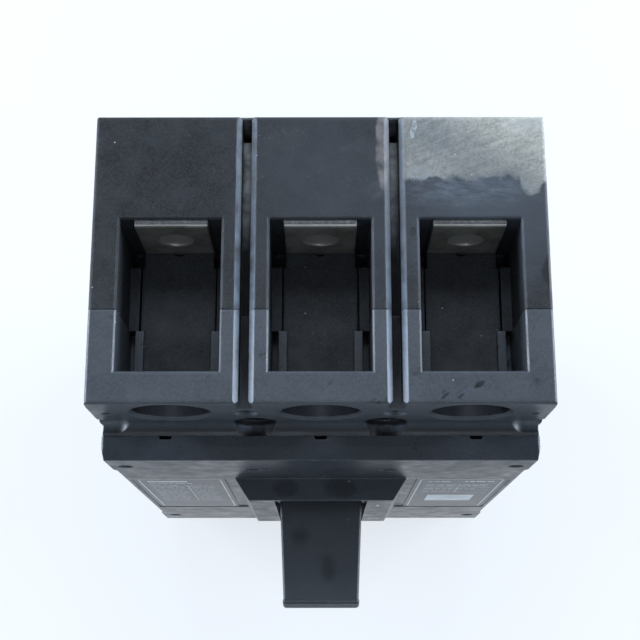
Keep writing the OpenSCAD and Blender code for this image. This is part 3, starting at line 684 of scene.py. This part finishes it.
def cross_screw(x, z, seat, head, length):
    """The grid of one screw, outwards over the head and down the shank.

    The head is a dome: its height falls with the radius squared. A point is in the recess when it is within
    `arm` of one axis of the cross and within `reach` of the middle along it.
    """
    angle = np.linspace(0, 2 * pi, 57)
    radius = np.linspace(0, 1, 15)[:, None] ** 0.8 * (head - 0.15)
    across, up = radius * np.cos(angle), radius * np.sin(angle)
    arm, reach = 0.16 * head, 0.62 * head
    arms = [np.clip((arm - np.abs(a)) / 0.12 + 0.5, 0, 1) * np.clip((reach - np.abs(b)) / 0.3, 0, 1)
            for a, b in ((across, up), (up, across))]
    depth = seat + screw_head - dome * (radius / head) ** 2 - recess * np.maximum(*arms)
    rows = list(zip(radius, depth))
    rows += [(head, seat + screw_head - 0.5), (head, seat + 0.05), (head - 0.1, seat), (shank, seat)]
    rows += [(thread(d, angle, coarse_pitch, shank, core), seat - d) for d in np.linspace(0.5, length - 1.2, 40)]
    rows += [(0.5, seat - length + 0.1), (0.0, seat - length)]
    return np.array([np.stack([x + r * np.cos(angle), -d + 0 * angle, z + r * np.sin(angle)], axis=-1)
                     for r, d in rows])


def screw_set(node, places, seat, head, length):
    """All screws of one CAD node as one piece."""
    grids = [cross_screw(x, z, seat, head, length) for x, z in places]
    return skin_over("cross_" + node, grids, node, dark_zinc)


# %% The four sets of screws
# black-passivated zinc on steel: dark, a little brown, with fine turning lines
dark_zinc = plated("black zinc on steel", "#6A6C6E", "#4A4B4C", 0.36, 0.3, "X", 4.0)
for node, end in (("top", 1), ("bottom", -1)):
    places = [(side * x, end * z) for side in (-1, 1) for x, z in ((67.8, 78.0), (23.7, 69.0))]
    screw_set(f"cover_screws_{node}", places, seat=103.0, head=1.95, length=12.0)
for node, end in (("line", 1), ("load", -1)):
    places = [(side * 24.25, end * 112.6) for side in (-1, 1)]
    screw_set(f"case_screws_{node}", places, seat=72.5, head=3.05, length=20.0)

# %% [markdown]
# ## Labels and printed marks
#
# The rating labels are dark polyester film with pale screen print. Here the
# print is a plain ruled form with no words. The only signs are the ones every
# toggle has: a bar for on and a ring for off. Ink stands a few hundredths of a
# millimetre above the film, so each line is a low flat ridge carried along a
# path, and its side steps along the path's normal. A real ridge has an edge
# that stays sharp at any distance, which a painted line would not have.

# %% Ink lines
def ridge(path, width, face, closed=False):
    """A flat ridge on a face, along an (x, z) path.

    Each side stands off by half the width along the mean of the two steps' normals, stretched at a corner so
    that the width stays. The ridge starts 0.01 mm inside the face and ends 0.03 mm in front of it.
    """
    path = np.asarray(path, float)
    steps = np.roll(path, -1, 0) - path if closed else np.diff(path, axis=0)
    steps = steps / np.linalg.norm(steps, axis=1, keepdims=True)
    before = np.roll(steps, 1, 0) if closed else np.concatenate([steps[:1], steps])
    after = steps if closed else np.concatenate([steps, steps[-1:]])
    mean = before + after
    mean /= np.linalg.norm(mean, axis=1, keepdims=True)
    stretch = 1 / np.maximum(np.sum(mean * after, axis=1, keepdims=True), 0.3)
    normal = np.stack([-mean[:, 1], mean[:, 0]], axis=-1) * stretch * width / 2
    sunk, proud = face - 0.01, face + 0.03
    rows = [(path - normal, sunk), (path - normal, proud), (path + normal, proud), (path + normal, sunk)]
    rows.append(rows[0])
    grid = np.array([np.stack([p[:, 0], -d + 0 * p[:, 0], p[:, 1]], axis=-1) for p, d in rows])
    return np.concatenate([grid, grid[:, :1]], axis=1) if closed else grid


def frame_path(centre, half, corner, n=6):
    """A rectangle with rounded corners, as a closed path of (x, z): n points on a quarter circle each."""
    turn = np.linspace(0, pi / 2, n)
    quarter = np.stack([np.cos(turn), np.sin(turn)], axis=-1) * corner
    path = []
    for k, (sx, sz) in enumerate(((1, 1), (-1, 1), (-1, -1), (1, -1))):
        arc = quarter if k % 2 == 0 else quarter[::-1]
        path.append(np.array([sx, sz]) * (arc + np.array(half) - corner))
    return np.concatenate(path) + np.array(centre)


print("a ridge of two points has", ridge([[0, 0], [1, 0]], 0.3, 0).shape[0] - 1, "sides")

# %% Label film and ink
def film(name, colour, light, roughness):
    """Polyester film: a smooth dark sheet, its colour a little uneven where the glue shows through."""
    material, tree, out = new_material(name)
    place = add(tree, "ShaderNodeTexCoord").outputs["Object"]
    skin = tint(tree, linear(colour), patches(tree, place, 12, 0.4, 0.7), light)
    skin, uneven = dust(tree, place, skin, patches(tree, place, 6, -1.0, 1.8), 0.5)
    rough = add(tree, "ShaderNodeMath", {"operation": "MULTIPLY_ADD"}, _0=uneven, _1=0.2, _2=roughness - 0.1)
    surface = add(tree, "ShaderNodeBsdfPrincipled", None, Base_Color=skin, Roughness=rough.outputs[0], IOR=1.62)
    tree.links.new(surface.outputs[0], out.inputs["Surface"])
    return material


wear(film("black polyester film", "#2B3035", "#343A40", 0.34), "label_left", "label_right")
pale_ink = film("pale grey screen ink", "#D3D8DB", "#B4BABE", 0.5)

# %% Ruled forms, and print that can't be read
label_low, label_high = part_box("label_right")
label_face = -label_low[1] / MM
label_x = (label_low[0] + label_high[0]) / 2 / MM


def ruled_form(side, rows, columns, bars, rule=0.3, reach=13.2):
    """A frame with ruled rows, upright rules and bars, as a rating form has, placed from the label's middle.

    A row is a rule from -`reach` to `reach` at z. A column is x and its two ends in z. A bar is the left end
    of its middle line, its length and its width.
    """
    centre = np.array([side * label_x, 0.0])
    lines = [ridge(frame_path(centre, half=(15.4, 42.6), corner=1.5), 0.5, label_face, closed=True)]
    for z in rows:
        lines.append(ridge(np.array([[-reach, z], [reach, z]]) + centre, rule, label_face))
    for x, z0, z1 in columns:
        lines.append(ridge(np.array([[x, z0], [x, z1]]) + centre, rule, label_face))
    for x, z, length, width in bars:
        lines.append(ridge(np.array([[x, z], [x + length, z]]) + centre, width, label_face))
    return lines


def greeked(x, z, length, width, seed, gap=0.7):
    """A line of print as it looks from afar: dashes of 1 to 4 mm with even gaps, in a fixed random order."""
    draw = np.random.default_rng(seed)
    dashes = []
    while length > 1:
        dash = min(draw.uniform(1.0, 4.0), length)
        dashes.append((x, z, dash, width))
        x, length = x + dash + gap, length - dash - gap
    return dashes


print("label faces at", round(label_face, 2), "mm, middles at x =", round(label_x, 1), "mm")

# %% The left label: a table of seven rows and two columns
left_rows = [23, 15.5, 8, 0.5, -7, -14.5, -22]
left_bars = [(-12.6, 37, 15, 2.6)] + greeked(-12.6, 32, 18, 1.1, 1)
for k, z in enumerate(left_rows):
    left_bars += greeked(-12.6, z + 3.6, 11 + 2 * (k % 2), 0.8, 10 + k) + greeked(2.6, z + 3.6, 9, 0.8, 30 + k)
skin_over("ruled_form_left", ruled_form(-1, left_rows, [(1.5, -22, 26)], left_bars), None, pale_ink)

# %% The right label: three rows and a blank pale panel
right_rows = [20, 12, 4]
right_bars = greeked(-12.6, 37, 9, 1.4, 2) + greeked(1.5, 37, 11, 2.0, 3) + greeked(-12.6, 27, 24, 1.0, 4)
for k, z in enumerate(right_rows):
    right_bars += greeked(-12.6, z + 4, 24 - 4 * k, 0.9, 50 + k)
right_bars.append((-9.5, -13, 19, 19))
skin_over("ruled_form_right", ruled_form(1, right_rows, [(0.5, 4, 20)], right_bars), None, pale_ink)

# %% The on and off marks
surround_face = -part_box("front_cover")[0][1] / MM
mark_x, ring_z, ring_r = 21.6, -14, 2.1
turn = np.linspace(0, 2 * pi, 41)[:-1]
ring = np.stack([mark_x + ring_r * np.cos(turn), ring_z + ring_r * np.sin(turn)], axis=-1)
bar = np.array([[mark_x, 29.5], [mark_x, 34.0]])
marks = [ridge(ring, 0.6, surround_face, closed=True), ridge(bar, 0.7, surround_face)]
skin_over("on_off_marks", marks, None, pale_ink)

# %% [markdown]
# ## Floor, world and lamps
#
# Black plastic shows itself mostly by what it reflects. A white room around
# the breaker gives the front faces their grey sheen at a grazing angle, and
# two softboxes at the sides draw the bright lines along the chamfers. The
# light that falls on the breaker and the room that it mirrors are set apart
# with the Light Path node, so the background can be white without more light.

# %% World
def make_world(ambient, walls, front, ceiling):
    """Soft light at one strength, `ambient`. Reflections see white walls, a dimmer front and a dark ceiling."""
    world = bpy.data.worlds.new("room")
    world.use_nodes = True
    tree = world.node_tree
    tree.nodes.clear()
    path = add(tree, "ShaderNodeLightPath")
    way = add(tree, "ShaderNodeSeparateXYZ", None, Vector=add(tree, "ShaderNodeTexCoord").outputs["Generated"])
    side = add(tree, "ShaderNodeMapRange", {"interpolation_type": "SMOOTHSTEP"}, Value=way.outputs["Y"],
               From_Min=-0.9, From_Max=-0.2, To_Min=front, To_Max=walls)
    room = add(tree, "ShaderNodeMapRange", {"interpolation_type": "SMOOTHSTEP"}, Value=way.outputs["Z"],
               From_Min=0.25, From_Max=0.8, To_Min=side.outputs[0], To_Max=ceiling)
    mirrored = add(tree, "ShaderNodeMapRange", None, Value=path.outputs["Is Glossy Ray"], To_Min=ambient,
                   To_Max=room.outputs[0])
    clear = add(tree, "ShaderNodeMath", {"operation": "MAXIMUM"}, _0=path.outputs["Is Camera Ray"],
                _1=path.outputs["Is Transmission Ray"])
    strength = add(tree, "ShaderNodeMapRange", None, Value=clear.outputs[0], To_Min=mirrored.outputs[0],
                   To_Max=1.0)
    light = add(tree, "ShaderNodeBackground", None, Color=linear("#EDF5FF"), Strength=strength.outputs[0])
    add(tree, "ShaderNodeOutputWorld", None, Surface=light.outputs[0])
    bpy.context.scene.world = world
    return world


world = make_world(ambient=0.5, walls=1.0, front=0.2, ceiling=0.16)
bpy.context.scene.view_settings.view_transform = "Standard"
print("world", world.name, "with", len(world.node_tree.nodes), "nodes")

# %% The board's material
def matt_board(far, near_y=-0.125, far_y=-0.185, shown=0.72):
    """Matt white board that takes a shadow. It looks nearly white to the camera.

    Reflections see its front fade from 1 to `far` between two places on the y axis, in metres.
    """
    material, tree, out = new_material("matt white board")
    path = add(tree, "ShaderNodeLightPath")
    seen = add(tree, "ShaderNodeMath", {"operation": "MAXIMUM"}, _0=path.outputs["Is Camera Ray"],
               _1=path.outputs["Is Glossy Ray"])
    share = add(tree, "ShaderNodeMath", {"operation": "MULTIPLY"}, _0=seen.outputs[0], _1=shown)
    board = add(tree, "ShaderNodeBsdfDiffuse", None, Color=linear("#EBEFF3"))
    at = add(tree, "ShaderNodeSeparateXYZ", None, Vector=add(tree, "ShaderNodeNewGeometry").outputs[0])
    reach = add(tree, "ShaderNodeMapRange", {"interpolation_type": "SMOOTHSTEP"}, Value=at.outputs["Y"],
                From_Min=near_y, From_Max=far_y, To_Min=1.0, To_Max=far)
    strength = add(tree, "ShaderNodeMath", {"operation": "MAXIMUM"}, _0=reach.outputs[0],
                   _1=path.outputs["Is Camera Ray"])
    glow = add(tree, "ShaderNodeEmission", None, Color=linear("#F3F8FD"), Strength=strength.outputs[0])
    mix = add(tree, "ShaderNodeMixShader", None, Fac=share.outputs[0], _1=board.outputs[0], _2=glow.outputs[0])
    tree.links.new(mix.outputs[0], out.inputs["Surface"])
    return material


# %% Floor
def make_floor(height, half, material):
    """A square floor of twice `half` metres a side."""
    mesh = bpy.data.meshes.new("floor")
    corners = [(-half, -half, height), (half, -half, height), (half, half, height), (-half, half, height)]
    mesh.from_pydata(corners, [], [(0, 1, 2, 3)])
    mesh.materials.append(material)
    floor = bpy.data.objects.new("floor", mesh)
    bpy.context.scene.collection.objects.link(floor)
    return floor


floor = make_floor(cad_low.z, 4.0, matt_board(far=0.2))
print("floor at", round(cad_low.z / MM, 1), "mm")

# %% Softboxes
def softbox(name, place, aim, size, radiance):
    """A rectangular lamp that faces a point. Its power is radiance x area x pi."""
    lamp = bpy.data.lights.new(name, "AREA")
    lamp.shape = "RECTANGLE"
    lamp.size, lamp.size_y = size
    lamp.energy = radiance * size[0] * size[1] * pi
    lamp.color = linear("#E4EFFF")[:3]
    box = bpy.data.objects.new(name, lamp)
    box.location = place
    box.rotation_euler = (Vector(aim) - Vector(place)).to_track_quat("-Z", "Y").to_euler()
    bpy.context.scene.collection.objects.link(box)
    print(name, "gives", round(lamp.energy, 2), "W")


aim = (0, -0.05, 0.1)
softbox("left_softbox", (-1.1, 0.28, 0.30), aim, (0.9, 0.5), 15.0)
softbox("right_softbox", (1.1, 0.28, 0.30), aim, (0.9, 0.5), 15.0)
softbox("front_softbox", (0.0, -0.9, 1.4), aim, (0.7, 0.3), 5.0)
softbox("back_softbox", (0.0, 1.0, 1.6), aim, (0.8, 0.7), 6.5)
